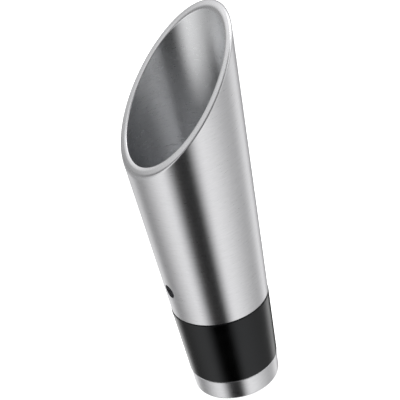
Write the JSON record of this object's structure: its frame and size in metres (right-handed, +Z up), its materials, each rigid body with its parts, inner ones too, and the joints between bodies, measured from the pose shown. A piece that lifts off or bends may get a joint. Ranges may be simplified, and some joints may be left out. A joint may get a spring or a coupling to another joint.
{
  "type": "wine pourer",
  "caption": "Tapered steel wine pourer: a slanted open funnel with a rounded lip and a side air vent, above a rubber sleeve and steel end collar that plug a bottle.",
  "frame": {"origin": "on the pourer's axis, at the flat foot of its end collar, which is the end that goes into the bottle", "axes": "+Z runs up the axis to the mouth, +X points to the pouring tip, and the air vent is at -X"},
  "size_m": [0.0267, 0.0266, 0.0826],
  "materials": {
    "funnel_steel": "stainless steel, fine brushing round the axis, satin lip",
    "neck_steel": "turned stainless steel",
    "seal_rubber": "smooth black rubber, soft sheen",
    "collar_steel": "stainless steel, fine brushing round the axis",
    "tube_steel": "drawn stainless steel tube"
  },
  "bodies": {
    "root": {"funnel": "funnel_steel", "neck_tube": "neck_steel", "seal_sleeve": "seal_rubber", "end_collar": "collar_steel", "air_tube": "tube_steel"}
  },
  "joints": []
}
